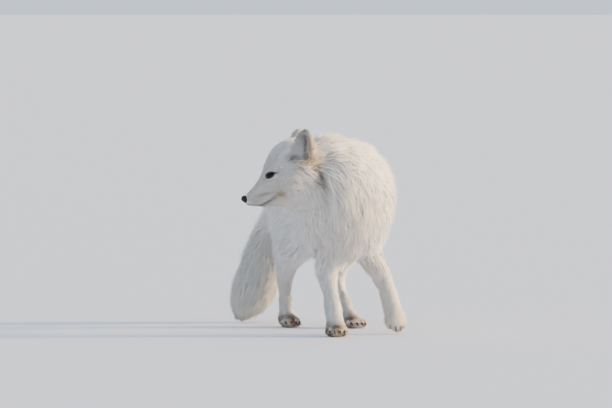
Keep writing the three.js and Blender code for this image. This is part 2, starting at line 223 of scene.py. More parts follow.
# skin
skin = {
    "voxel": 0.0021,
    "relaxTrunk": 46,  # smoothing passes over the faceted trunk
    "relaxFine": 4,
    "steps": 5,  # of the move inward
    "relaxDepth": 24,
    "coarse": (0.004, 0.018),  # coat depths between which the smoothing grows to full
    "settle": (0.003, 0.012),  # and between which each step inward is settled more
    "rayStart": 0.0006,
    "rayReach": 0.2,
    "depth": {  # how deep the coat is over each solid, in metres
        "chest": 0.027, "loin": 0.025, "rump": 0.026, "neck": 0.028,
        "tail_base": 0.022, "tail_middle": 0.021, "tail_tip": 0.015,
        "foreleg_left": 0.0055, "foreleg_right": 0.0055, "hindleg_left": 0.010, "hindleg_right": 0.010,
        "hindfoot_left": 0.0045, "hindfoot_right": 0.0045,
        "forepaw_left": 0.003, "forepaw_right": 0.003, "hindpaw_left": 0.003, "hindpaw_right": 0.003,
        "head": 0.006, "lower_jaw": 0.003, "ear_left": 0.0018, "ear_right": 0.0018,
    },
    "earDepth": 0.0023,
    "earVoxel": 0.0012,
    "relaxEar": 26,
    "swell": 0.0003,  # closes the cuts between the solids
    "onOutside": 0.0016,  # a face this near to the shell is on the outside
    "thickest": 0.36,  # of the local thickness
    "triangles": 185000,  # once thinned
    "headDepth": [  # by the place along the head
        (-0.05, 0.0012), (-0.03, 0.0018), (0.0, 0.0032), (0.03, 0.006), (0.055, 0.014), (0.085, 0.024),
    ],
    # by height
    "legDepth": [(0.0, 0.003), (0.03, 0.0038), (0.085, 0.0058), (0.105, 0.009), (0.138, 0.020)],
}
flesh = [n for n in nodes if not n.startswith(("eye", "claw")) and n != "nose"]


def meshArrays(mesh):
    co = np.zeros(len(mesh.vertices) * 3)
    mesh.vertices.foreach_get("co", co)
    edges = np.zeros(len(mesh.edges) * 2, np.int64)
    mesh.edges.foreach_get("vertices", edges)
    return co.reshape(-1, 3), edges.reshape(-1, 2)


def averageOver(values, edges, count):
    shape = (len(values), -1)
    flat = np.asarray(values, float).reshape(shape)
    total = np.empty_like(flat)
    for k in range(flat.shape[1]):
        total[:, k] = np.bincount(edges[:, 0], flat[edges[:, 1], k], len(flat))
        total[:, k] += np.bincount(edges[:, 1], flat[edges[:, 0], k], len(flat))
    return (total / np.maximum(count, 1)[:, None]).reshape(np.shape(values))


def relax(values, edges, passes, weight=1.0, keep=True):
    # smooths values over a mesh; with keep, each pass is followed by one that gives the volume back
    count = np.bincount(edges.ravel(), minlength=len(values))
    weight = np.broadcast_to(weight, len(values)).reshape((-1,) + (1,) * (np.ndim(values) - 1))
    for i in range(passes):
        values = values + 0.55 * weight * (averageOver(values, edges, count) - values)
        if keep:
            values = values - 0.57 * weight * (averageOver(values, edges, count) - values)
    return values


def vertexNormals(mesh):
    normals = np.zeros(len(mesh.vertices) * 3)
    mesh.vertex_normals.foreach_get("vector", normals)
    return normals.reshape(-1, 3)


def remeshed(mesh, voxel):
    obj = link(bpy.data.objects.new("forRemesh", mesh))
    step = obj.modifiers.new("remesh", "REMESH")
    step.mode = "VOXEL"
    step.voxel_size = voxel
    step.use_smooth_shade = True
    out = bpy.data.meshes.new_from_object(obj.evaluated_get(bpy.context.evaluated_depsgraph_get()))
    bpy.data.objects.remove(obj)
    return out


def fleshTree(outside):
    # a search tree over the solids' faces that are on the outside, and the node each face is of
    points, faces, owner = [], [], []
    start = 0
    for name in flesh:
        mesh = nodes[name].data
        co, _ = meshArrays(mesh)
        mesh.calc_loop_triangles()
        tri = np.zeros(len(mesh.loop_triangles) * 3, np.int64)
        mesh.loop_triangles.foreach_get("vertices", tri)
        tri = tri.reshape(-1, 3)
        out = np.array([outside.find_nearest(Vector(p))[3] < skin["onOutside"] for p in co[tri].mean(1)])
        faces.append(tri[out] + start)
        points.append(co)
        start += len(co)
        owner += [name] * int(out.sum())
    tree = BVHTree.FromPolygons(np.concatenate(points).tolist(), np.concatenate(faces).tolist())
    return tree, owner


def treeOf(mesh):
    co, _ = meshArrays(mesh)
    return BVHTree.FromPolygons(co.tolist(), [p.vertices[:] for p in mesh.polygons])


def coatDepth(co, tree, owner):
    depth = np.empty(len(co))
    for i, p in enumerate(co):
        depth[i] = skin["depth"][owner[tree.find_nearest(Vector(p))[2]]]
    local = inHead(co)
    places, depths = zip(*skin["headDepth"])
    headDepth = np.interp(local[:, 1], places, depths)
    isHead = np.isclose(depth, skin["depth"]["head"])
    isForeleg = np.isclose(depth, skin["depth"]["foreleg_left"])
    isLeg = isForeleg | np.isclose(depth, skin["depth"]["hindleg_left"])
    heights, depths = zip(*skin["legDepth"])
    depth = np.where(isLeg, np.interp(co[:, 2], heights, depths), depth)
    return np.where(isHead, headDepth, depth)


def joined(meshes):
    bm = bmesh.new()
    for mesh in meshes:
        bm.from_mesh(mesh)
    return meshFrom(bm, "joined")


def moveTo(mesh, co):
    mesh.vertices.foreach_set("co", np.ascontiguousarray(co).ravel())
    mesh.update()


def smoothEar(name):
    # the cup of an ear without its facets, a hair's depth inside the solid
    cone = remeshed(nodes[name].data, skin["earVoxel"])
    co, edges = meshArrays(cone)
    moveTo(cone, relax(co, edges, skin["relaxEar"]))
    moveTo(cone, meshArrays(cone)[0] - vertexNormals(cone) * skin["earDepth"])
    return cone


def makeShell():
    # the outside of the coat as one smooth closed shell, and where each node is on it
    bm = bmesh.new()
    for name in flesh + ["eye_left", "eye_right", "nose"]:  # so that no socket is left for the skin to follow
        bm.from_mesh(nodes[name].data)
    bmesh.ops.remove_doubles(bm, verts=bm.verts, dist=1e-5)
    bm.normal_update()
    for v in bm.verts:
        v.co += v.normal * skin["swell"]
    shell = remeshed(meshFrom(bm, "whole"), skin["voxel"])
    tree, owner = fleshTree(treeOf(shell))
    co, edges = meshArrays(shell)
    depth = coatDepth(co, tree, owner)
    coarseness = smoothStep(*skin["coarse"], relax(depth, edges, 30, keep=False))
    moveTo(shell, relax(co, edges, skin["relaxTrunk"], 0.15 + 0.85 * coarseness))
    print("outside of the coat smoothed,", len(co), "points")
    return shell, depth, tree, owner


def makeSkinMesh(shell, depth):
    outer = shell.copy()
    co, edges = meshArrays(outer)
    normals = vertexNormals(outer)
    inside = treeOf(outer)
    thick = np.empty(len(co))
    for i, (p, n) in enumerate(zip(co, normals)):
        hit = inside.ray_cast(Vector(p - n * skin["rayStart"]), Vector(-n), skin["rayReach"])
        thick[i] = hit[3] if hit[0] is not None else skin["rayReach"]
    depth = np.minimum(depth, skin["thickest"] * thick)
    depth = relax(depth, edges, skin["relaxDepth"], keep=False)
    for i in range(skin["steps"]):  # a few small moves inward, with a clean mesh after each
        inward = unit(relax(vertexNormals(outer), edges, 4, keep=False))
        settle = 0.04 + 0.56 * smoothStep(*skin["settle"], depth)
        moveTo(outer, relax(co - inward * depth[:, None] / skin["steps"], edges, 2, settle, keep=False))
        before = treeOf(outer)
        firstPoint = np.array([p.vertices[0] for p in outer.polygons])
        if i == skin["steps"] - 1:
            ears = [smoothEar(n) for n in flesh if n.startswith("ear")]
            outer = remeshed(joined([outer] + ears), skin["voxel"] * 0.9)
        else:
            outer = remeshed(outer, skin["voxel"])
        co, edges = meshArrays(outer)
        nearest = np.array([before.find_nearest(Vector(p))[2] for p in co])
        depth = relax(depth[firstPoint[nearest]], edges, 4, keep=False)
    moveTo(outer, relax(co, edges, skin["relaxFine"]))
    return outer


shell, shellDepth, solidTree, solidOwner = makeShell()
shellTree = treeOf(shell)
skinMesh = makeSkinMesh(shell, shellDepth)
skinMesh.name = "skin"
skinObj = link(bpy.data.objects.new("skin", skinMesh))
print("skin made,", len(skinMesh.polygons), "faces")


# face: lids round the eyes, the line of the mouth, in the head frame and in metres
face = {
    "eye": (0.0262, 0.0022, 0.0004),
    "ball": 0.0088,
    "lid": 0.0096,
    "nose": (0.0, -0.0475, -0.029), "noseHalf": (0.0076, 0.0062, 0.0066),
    "axis": (0.895, -0.445, 0.03),  # where the left eye looks
    "toOuterCorner": (0.45, 0.87, 0.21),
    # half width, upper height and lower height of the gap between the lids, in degrees
    "opening": (61, 25, 21),
    "mouth": [(-0.049, -0.038), (-0.045, -0.0405), (-0.034, -0.0437), (-0.023, -0.0443), (-0.0067, -0.0394),
              (0.0062, -0.0330), (0.0120, -0.0322)],  # y and z along the gap of the mouth
    "mouthDepth": 0.0012,
    "mouthWidth": 0.0008,
    "lowerLip": {"height": 0.0004, "under": 0.0025, "width": 0.0014},
    "fineRound": (0.026, 0.014),  # the mesh is halved this near to an eye, and again this near
    "fineMuzzle": (0.024, -0.065, 0.07),  # back, lowest and half width of what is halved first
    "fineMouth": 0.0035,  # and last this near to the gap of the mouth
    "halfMuzzle": 0.05,
    "lidFold": {"height": 0.0003, "at": 0.09, "width": 0.06},
    "underLid": 0.0070,  # how far from the eye's middle the skin lies between the lids
    "eyeReach": 0.030,
    "noseSunk": 0.80,
}
gaze = unit(np.array(face["axis"]))
cornerWay = unit(np.array(face["toOuterCorner"]) - gaze * np.dot(gaze, face["toOuterCorner"]))
lidTop = np.cross(cornerWay, gaze) * (1 if np.cross(cornerWay, gaze)[2] > 0 else -1)


def lidEdge(local, side):
    # how far each point is from the middle of the eyeball, and its angle outside the lids' edge, in radians
    mirror = np.array([side, 1, 1])
    away = local * mirror - np.array(face["eye"])
    distance = np.linalg.norm(away, axis=1)
    way = away / np.maximum(distance, 1e-9)[:, None]
    across = np.arctan2(way @ cornerWay, way @ gaze)
    up = np.arcsin(np.clip(way @ lidTop, -1, 1))
    width, upper, lower = np.radians(face["opening"])
    share = np.clip(1 - (across / width) ** 2, 0, None)
    edge = np.where(up > 0, up - upper * share**0.8, -up - lower * share)
    beyond = np.abs(across) - width
    edge = np.where(beyond > 0, np.hypot(beyond, up), edge)
    return distance, edge


def mouthGap(local):
    # height above the gap of the mouth, and how open the gap is there
    y, z = zip(*face["mouth"])
    return local[:, 2] - np.interp(local[:, 1], y, z), smoothStep(0.0135, 0.008, local[:, 1])


def carveFace(mesh):
    eyes = [fromHead(np.array(face["eye"]) * (side, 1, 1)) for side in (1, -1)]
    for reach in (None, *face["fineRound"], 0.0):
        bm = bmesh.new()
        bm.from_mesh(mesh)
        middles = np.array([f.calc_center_median() for f in bm.faces])
        local = inHead(middles)
        if reach is None:
            back, under, wide = face["fineMuzzle"]
            chosen = (local[:, 1] < back) & (local[:, 2] > under) & (np.abs(local[:, 0]) < wide)
        elif reach:
            chosen = np.min([np.linalg.norm(middles - e, axis=1) for e in eyes], axis=0) < reach
        else:
            gap, opened = mouthGap(local)
            onLips = (np.abs(gap) < face["fineMouth"]) & (opened > 0)
            chosen = onLips & (np.abs(local[:, 0]) < face["halfMuzzle"])
        bm.faces.ensure_lookup_table()
        edges = {e for i in np.flatnonzero(chosen) for e in bm.faces[i].edges}
        bmesh.ops.subdivide_edges(bm, edges=list(edges), cuts=1, use_grid_fill=True)
        bmesh.ops.triangulate(bm, faces=[f for f in bm.faces if len(f.verts) > 4])
        bm.to_mesh(mesh)
        bm.free()
        co, edges = meshArrays(mesh)
        onFace = smoothStep(0.034, 0.020, inHead(co)[:, 1])
        moveTo(mesh, relax(co, edges, 4, onFace))
    co, edges = meshArrays(mesh)
    local = inHead(co)
    normals = vertexNormals(mesh)
    gap, opened = mouthGap(local)
    lip = face["lowerLip"]
    rise = lip["height"] * np.exp(-(((gap + lip["under"]) / lip["width"]) ** 2))
    sink = face["mouthDepth"] * np.exp(-((gap / face["mouthWidth"]) ** 2)) - rise
    onMuzzle = opened * (np.abs(local[:, 0]) < face["halfMuzzle"])
    local = local - (normals @ np.array(headFrame.to_3x3())) * (sink * onMuzzle)[:, None]
    for side in (1, -1):
        middle = np.array(face["eye"]) * (side, 1, 1)
        distance, edge = lidEdge(local, side)
        fold = face["lidFold"]
        lid = face["lid"] + fold["height"] * np.exp(-(((edge - fold["at"]) / fold["width"]) ** 2))
        lower = lid + (distance - lid) * smoothStep(0.75, 1.25, edge)
        higher = lid + (distance - lid) * smoothStep(0.04, 0.5, edge)
        outside = np.where(distance < lid, lower, higher)
        between = lid + (face["underLid"] - lid) * smoothStep(0.02, -0.09, edge)
        wanted = np.where(edge > 0, outside, between)
        wanted = np.where(distance < face["eyeReach"], wanted, distance)
        local = middle + unit(local - middle) * wanted[:, None]
    away = (local - np.array(face["nose"])) / np.array(face["noseHalf"])  # under the nose's leather
    share = np.linalg.norm(away, axis=1)
    sunk = np.where(share < 1.05, np.minimum(share, face["noseSunk"]), share)
    local = np.array(face["nose"]) + away / share[:, None] * sunk[:, None] * np.array(face["noseHalf"])
    moveTo(mesh, fromHead(local))
    print("face carved,", len(mesh.polygons), "faces")


carveFace(skinMesh)
for p in skinMesh.polygons:
    p.use_smooth = True


# ears
ear = {
    "at": (0.037, 0.057, 0.014), "lean": {1: 0.3, -1: 0.5},  # the left ear's lean, and the right's
    "hollowAt": (0.0, 0.0085, 0.012), "hollow": (0.014, 0.011, 0.036), "slitShadowWidth": 0.0030,
}


def earAxes(side):
    # across the ear, out of its mouth, and up it
    up = unit(np.array([side * ear["lean"][side], 0.34, 0.9]))
    out = np.array([side * 0.8, -0.6, 0.0])
    out = unit(out - up * (out @ up))
    return np.cross(out, up), out, up


def inEar(local, side):
    return (local - np.array(ear["at"]) * (side, 1, 1)) @ np.stack(earAxes(side), axis=1)


def earHollow(local, side):
    # below 1 inside the cup of the ear
    away = (inEar(local, side) - np.array(ear["hollowAt"])) / np.array(ear["hollow"])
    return np.linalg.norm(away, axis=1)


def earSlitShadow(place, cup):
    # painted shadow: the dark gap between the hairs of the ear's two sides, where the deep cup lies in shade
    across = place[:, 0] + 0.002 - 0.06 * (place[:, 2] - 0.02)
    inside = smoothStep(1.3, 1.1, cup)
    return np.exp(-((across / ear["slitShadowWidth"]) ** 2)) * inside * smoothStep(0.044, 0.030, place[:, 2])


# what the coat needs to know of the skin at each point
area = {}
area["co"], area["edges"] = meshArrays(skinMesh)
area["normal"] = vertexNormals(skinMesh)
owners = sorted(set(solidOwner))
area["owner"] = np.array([owners.index(solidOwner[solidTree.find_nearest(Vector(p))[2]]) for p in area["co"]])


def inNodes(*names):
    return np.isin(area["owner"], [owners.index(n) for n in names])


# lie of the coat: places in mm, in the drawn frame or the head's, and the way the hair runs there
lie = {
    "body": [
        ((0, -120, 315), (0.1, 1, 0)), ((0, -40, 312), (0, 1, 0)), ((0, 60, 302), (0, 1, 0)),
        ((0, 140, 298), (0, 1, -0.1)),
        ((70, -110, 240), (0.1, 0.75, -0.65)), ((72, -40, 230), (0, 0.85, -0.5)),
        ((72, 40, 220), (0, 0.9, -0.42)),
        ((74, 120, 220), (0, 0.75, -0.65)), ((66, -110, 170), (0, 0.45, -0.9)),
        ((64, -40, 160), (0, 0.6, -0.8)),
        ((62, 40, 160), (0, 0.65, -0.75)), ((60, 120, 160), (0, 0.55, -0.85)),
        ((-72, -60, 240), (0.05, 0.85, -0.5)), ((-72, 20, 225), (0, 0.9, -0.42)),
        ((-74, 110, 225), (0, 0.75, -0.65)),
        ((-66, -60, 165), (0, 0.5, -0.85)), ((-62, 30, 160), (0, 0.65, -0.75)),
        ((-60, 120, 160), (0, 0.55, -0.85)),
        ((0, -40, 118), (0, 0.8, -0.6)), ((0, 40, 121), (0, 0.9, -0.4)), ((0, 110, 132), (0, 0.7, -0.7)),
        ((0, 190, 280), (0, 0.75, -0.7)), ((30, 205, 220), (0, 0.2, -1)), ((-30, 205, 215), (0, 0.2, -1)),
        ((-14, -170, 230), (0.05, -0.1, -1)), ((-14, -165, 190), (0.05, 0, -1)),
        ((-12, -135, 140), (0.05, 0.35, -1)),
        ((40, -160, 240), (0.45, 0.05, -0.9)), ((55, -140, 200), (0.2, 0.3, -0.95)),
        ((30, -140, 290), (0.7, 0.6, -0.5)),
        ((45, -130, 160), (0.1, 0.2, -1)), ((-50, -150, 170), (0, 0.15, -1)),
    ],
    "mane": [
        ((-60, -130, 325), (1, 0.3, 0.1)), ((-30, -120, 325), (1, 0.5, -0.1)),
        ((10, -120, 318), (0.8, 0.7, -0.2)),
        ((-80, -195, 290), (0.85, 0, -0.5)), ((-50, -200, 270), (0.6, 0, -0.8)),
        ((-20, -190, 270), (0.55, 0.05, -0.85)),
        ((-80, -190, 240), (0.4, 0, -0.92)), ((-50, -195, 220), (0.3, 0, -0.95)),
        ((-80, -170, 205), (0.35, 0, -0.94)),
        ((-110, -160, 225), (0.45, 0, -0.9)), ((-95, -90, 290), (0.7, 0.6, -0.4)),
        ((-80, -80, 250), (0.55, 0.6, -0.6)),
        ((-70, -90, 210), (0.35, 0.4, -0.85)), ((-50, -70, 290), (0.4, 0.9, -0.2)),
    ],
    "legs": [
        ((-48, -107, 92), (0, -0.1, -1)), ((-44, -121, 44), (0, -0.15, -1)),
        ((50, -92, 98), (0.22, -0.2, -1)),
        ((62, -104, 55), (0.15, -0.15, -1)), ((-46, 130, 92), (0, 0.25, -1)),
        ((-47, 129, 40), (0, -0.2, -1)),
        ((39, 106, 94), (0, 0.25, -1)), ((45, 75, 38), (0.08, -0.7, -0.7)),
        ((-46, 95, 130), (0, 0.45, -0.9)),
        ((43, 85, 130), (0, 0.45, -0.9)), ((-49, -98, 128), (0, 0.1, -1)),
        ((40, -86, 128), (0.15, -0.05, -1)),
        ((-44.5, -150, 12), (0, -0.8, -0.5)), ((-48.5, 95, 12), (0, -0.8, -0.5)),
        ((48, 38, 12), (0, -0.8, -0.5)),
        ((69, -118, 22), (0.1, -0.3, -1)),
    ],
    "tail": [
        ((-14, 200, 215), (-0.2, 0.4, -0.9)), ((-36, 222, 156), (-0.28, 0.3, -0.92)),
        ((-58, 234, 86), (-0.28, 0.12, -0.95)),
        ((-80, 242, 34), (-0.42, 0.1, -0.9)), ((-90, 246, 14), (-0.5, 0.1, -0.85)),
    ],
    "head": [
        ((0, -48, -24), (0, 0.9, 0.45)), ((0, -30, -12), (0, 0.9, 0.45)), ((0, -10, 8), (0, 0.8, 0.6)),
        ((0, 8, 34), (0, 0.75, 0.65)),
        ((0, 40, 52), (0, 1, 0.1)), ((0, 75, 50), (0, 1, -0.1)),
        ((13, -38, -34), (0.25, 0.95, -0.12)), ((20, -18, -30), (0.4, 0.9, -0.2)),
        ((33, 5, -22), (0.4, 0.88, -0.3)),
        ((48, 25, -10), (0.35, 0.85, -0.35)), ((54, 45, 0), (0.1, 0.9, -0.4)),
        ((52, 45, -35), (0.15, 0.6, -0.8)),
        ((34, 20, -50), (0.2, 0.6, -0.75)), ((22, -8, 4), (0.5, 0.7, 0.5)),
        ((34, 10, 20), (0.45, 0.75, 0.45)),
        ((48, 30, 25), (0.3, 0.9, 0.25)), ((0, -35, -47), (0, 0.95, -0.3)), ((0, 0, -54), (0, 0.9, -0.4)),
        ((0, 40, -56), (0, 0.6, -0.8)),
    ],
    # how far a place has a say, in mm
    "reach": {"body": 46, "mane": 36, "legs": 22, "tail": 40, "head": 15},
}


def lieField(points):
    # the way the hair runs at each point, before it is laid onto the skin
    total = np.zeros((len(points), 3))
    for area in ("body", "mane", "legs", "tail", "head"):
        reach = lie["reach"][area] / 1000
        for place, way in lie[area]:
            places, ways = [place], [way]
            if area == "head" and place[0]:  # the head's two sides are alike
                places.append((-place[0], place[1], place[2]))
                ways.append((-way[0], way[1], way[2]))
            for at, along in zip(places, ways):
                if area == "head":
                    at, along = fromHead(np.array(at) / 1000), fromHead(along, asDirection=True)
                else:
                    at = drawn(at)
                away = ((points - at) ** 2).sum(1) / reach**2
                total += (np.exp(-away) + 0.002 / (1 + away) ** 2)[:, None] * unit(np.asarray(along, float))
    return total


def earFlow(points, flow):
    # on the ears the hair runs up, out to both rims, and out of the cup
    local = inHead(points)
    for side in (1, -1):
        place = inEar(local, side)
        cup = earHollow(local, side)
        across, out, up = earAxes(side)
        share = np.clip(place[:, :1] / 0.012, -1, 1)
        inner = smoothStep(1.35, 1.1, cup)[:, None]
        way = up * (1.0 - 0.3 * inner) + 0.75 * across * share * (1 - 0.4 * inner) + 0.5 * out * inner
        near = inNodes("ear_left" if side > 0 else "ear_right")
        flow = np.where(near[:, None], fromHead(way, asDirection=True), flow)
    return flow


toShell = [shellTree.find_nearest(Vector(p)) for p in area["co"]]
below = np.array([(hit[0] - Vector(p)).dot(hit[1]) > 0 for hit, p in zip(toShell, area["co"])])
area["depth"] = np.where(below, [hit[3] for hit in toShell], 0.0)
area["depth"] = np.maximum(relax(area["depth"], area["edges"], 6, keep=False), 0.0008)
smoothNormal = unit(relax(area["normal"], area["edges"], 10, keep=False))
flow = earFlow(area["co"], unit(lieField(area["co"])))
flow -= (flow * smoothNormal).sum(1)[:, None] * smoothNormal
flow = relax(unit(flow), area["edges"], 12, keep=False)
flow -= (flow * area["normal"]).sum(1)[:, None] * area["normal"]
area["flow"] = unit(flow)
area["smoothNormal"] = smoothNormal
# four corners to each face; a triangle ends on its first corner again
skinFaces = np.array([(*p.vertices[:], p.vertices[0])[:4] for p in skinMesh.polygons])
faceArea = np.array([p.area for p in skinMesh.polygons])
skinTree = treeOf(skinMesh)
shallow, deep = (area["depth"].min() * 1000).round(1), (area["depth"].max() * 1000).round(1)
print("lie of the coat ready, coat", shallow, "to", deep, "mm deep")


# the unwrap of each stretch of skin, by the way round it and the way along it
def roundAndAlong(points, start, end, up=(0, 0, 1)):
    axis = unit(np.asarray(end, float) - start)
    side = unit(np.cross(axis, up))
    top = np.cross(side, axis)
    local = points - start
    angle = np.arctan2(local @ side, local @ top) / (2 * math.pi) + 0.5
    along = local @ axis
    low, high = along.min() - 0.002, along.max() + 0.002
    return np.stack([0.01 + 0.98 * angle, 0.01 + 0.98 * (along - low) / (high - low)], axis=1)


# colours of the coat's marks, and painted light and shade, the same on skin and coat
markingsAndPaintedLight = {
    "white": (0.90, 0.89, 0.865), "cream": (0.87, 0.82, 0.72), "grey": (0.50, 0.49, 0.48),
    "tan": (0.72, 0.59, 0.41),
    "earBrown": (0.40, 0.34, 0.28), "sunlitRearRim": (0.86, 0.66, 0.42), "tailPaintedShade": (0.70, 0.695, 0.645),
    "dark": (0.055, 0.045, 0.040), "smudge": (0.24, 0.20, 0.165), "lip": (0.05, 0.045, 0.042),
    "mouthCorner": (0.50, 0.36, 0.17), "earth": (0.17, 0.135, 0.10), "stain": (0.34, 0.085, 0.045),
    "lipWidth": 0.0017,
    "pawStain": {  # of red stain and of earth
        "forepaw_right": (1.0, 0.85), "hindpaw_left": (0.9, 0.2), "hindpaw_right": (0.9, 0.25),
        "forepaw_left": (0.8, 0.1),
    },
}
# soft spots in the head frame, alike on both sides: colour, strength, place and size in metres
muzzleSpots = [
    ("mouthCorner", 0.85, (0.036, 0.012, -0.033), (0.02, 0.008, 0.005)),
    ("smudge", 0.62, (0.022, -0.016, -0.028), (0.02, 0.016, 0.0026)),
]
eyeLines = [  # before and behind the eye
    ("dark", 0.95, (0.0210, -0.0104, -0.0040), (0.0045, 0.0040, 0.0017)),
    ("dark", 0.85, (0.0385, 0.0105, 0.0015), (0.006, 0.0042, 0.0013)),
]
earDarkSpots = [  # in front of the ear and under it
    ("dark", 0.85, (0.046, 0.043, 0.019), (0.024, 0.0085, 0.0065)),
    ("dark", 0.80, (0.050, 0.061, 0.007), (0.024, 0.0060, 0.0070)),
    ("smudge", 0.55, (0.050, 0.050, 0.004), (0.030, 0.013, 0.012)),
    ("smudge", 1.0, (0.045, 0.076, -0.026), (0.034, 0.0052, 0.022)),
    ("smudge", 0.30, (0.040, 0.034, -0.018), (0.024, 0.010, 0.007)),
]
whiskerRoots = {
    "count": 11, "inRow": 4, "first": (0.016, -0.040, -0.032), "along": 0.006, "down": 0.0035, "out": 0.0006,
    "strength": 0.55, "size": (0.02, 0.0022, 0.0010),
}


def whiskerRoot(i):  # y and z of a whisker's root, in rows from the front
    c = whiskerRoots
    return c["first"][1] + c["along"] * (i % c["inRow"]), c["first"][2] - c["down"] * (i // c["inRow"])


def patchy(points, size, offset=0.0):
    # smooth patches from 0 to 1, each about size metres across
    return np.array([noise.noise(Vector(p) / size + Vector((offset, 0, 0))) for p in points]) * 0.5 + 0.5


def mixIn(color, name, amount):
    amount = np.clip(amount, 0, 1)[:, None]
    return color * (1 - amount) + np.array(markingsAndPaintedLight[name]) * amount


def spot(points, at, size):
    return np.exp(-(((points - np.array(at)) / np.array(size)) ** 2).sum(1))


def markingAndPaintedLightColor(points, owner):
    local = inHead(points)
    color = np.tile(np.array(markingsAndPaintedLight["white"]), (len(points), 1))
    color = mixIn(color, "cream", 0.75 * smoothStep(0.42, 0.72, patchy(points, 0.09)))
    onHead = np.isin(owner, [owners.index(n) for n in ("head", "lower_jaw", "ear_left", "ear_right")])
    y, z = local[:, 1], local[:, 2]
    onMane = np.isin(owner, [owners.index("neck")]) * 0.45
    onCheek = onHead * 0.45 * smoothStep(-0.015, 0.03, y) * smoothStep(0.03, 0.0, z)
    color = mixIn(color, "cream", onMane + onCheek)
    color = mixIn(color, "grey", onHead * 0.13)
    # muzzle and lips
    color = mixIn(color, "grey", onHead * 0.35 * smoothStep(-0.012, -0.044, y))
    gap, opened = mouthGap(local)
    below = np.where(gap < 0, np.abs(gap) * 0.55, np.abs(gap))
    color = mixIn(color, "lip", onHead * opened * np.exp(-((below / markingsAndPaintedLight["lipWidth"]) ** 2)))
    for side in (1, -1):
        here = local * np.array([side, 1, 1])
        for name, share, at, size in muzzleSpots:
            color = mixIn(color, name, onHead * share * spot(here, at, size))
        for i in range(whiskerRoots["count"]):
            at = (whiskerRoots["first"][0] + whiskerRoots["out"] * i, *whiskerRoot(i))
            share = onHead * whiskerRoots["strength"]
            color = mixIn(color, "smudge", share * spot(here, at, whiskerRoots["size"]))
        # rims of the eyes: a grey ring of painted shade where the bare skin round each eye stands in for
        # shaded fur, then the dark rim itself; and the dark line that runs forward from each
        distance, edge = lidEdge(local, side)
        close = distance < 0.02
        color = mixIn(color, "grey", close * 0.45 * smoothStep(0.55, 0.20, edge))
        color = mixIn(color, "dark", close * smoothStep(0.30, 0.18, edge))
        for name, share, at, size in eyeLines:
            color = mixIn(color, name, share * spot(here, at, size))
        # ears, with painted light on their rear rims and painted shade in their cups and down their middles,
        # and the dark spots in front of and under them
        cup = earHollow(local, side)
        place = inEar(local, side)
        isEar = owner == owners.index("ear_left" if side > 0 else "ear_right")
        rim = smoothStep(0.012, 0.044, place[:, 2]) * (0.35 + 0.65 * patchy(points, 0.006))
        color = mixIn(color, "earBrown", isEar * 0.8 * rim)
        # painted light: the rear rim of each ear warmer and brighter, as if lit by the low sun from behind
        color = mixIn(color, "sunlitRearRim", isEar * 0.7 * smoothStep(0.002, 0.010, -place[:, 0] * side))
        # painted shade: the cup of the ear greyer, where it lies in shade
        inCup = isEar * 0.22 * smoothStep(1.35, 1.15, cup)
        color = mixIn(color, "grey", inCup * (0.5 + patchy(points, 0.004, 1.3)))
        # painted shadow in the gap down the middle of the ear's cup
        color = mixIn(color, "dark", isEar * 0.95 * earSlitShadow(place * (side, 1, 1), cup))
        broken = 0.55 + 0.9 * patchy(points, 0.005, 5.1)
        for name, share, at, size in earDarkSpots:
            color = mixIn(color, name, share * broken * spot(here, at, size))
    # stained paws
    for name, (stain, earth) in markingsAndPaintedLight["pawStain"].items():
        isPaw = owner == owners.index(name)
        reach = 0.6 if name == "forepaw_left" else 1.0
        low = smoothStep(0.030 * reach, 0.014 * reach, points[:, 2])
        toes = smoothStep(0.022 * reach, 0.013 * reach, points[:, 2])
        color = mixIn(color, "tan", isPaw * stain * low * smoothStep(0.34, 0.60, patchy(points, 0.008)))
        earthy = smoothStep(0.54, 0.64, patchy(points, 0.006, 8.1))
        stained = smoothStep(0.54, 0.65, patchy(points, 0.0075, 3.7))
        color = mixIn(color, "earth", isPaw * earth * toes * earthy)
        color = mixIn(color, "stain", isPaw * stain * toes * stained)
    isTail = np.isin(owner, [owners.index(n) for n in ("tail_middle", "tail_tip")])
    # painted shade: the tail darker towards its lower end
    color = mixIn(color, "tailPaintedShade", isTail * smoothStep(0.20, 0.13, points[:, 2]))
    return color


def hairLength(depth, c):
    return np.clip(c["perDepth"] * depth, c["shortest"], c["longest"])


aboveFloor = 0.0006  # no hair goes into the floor


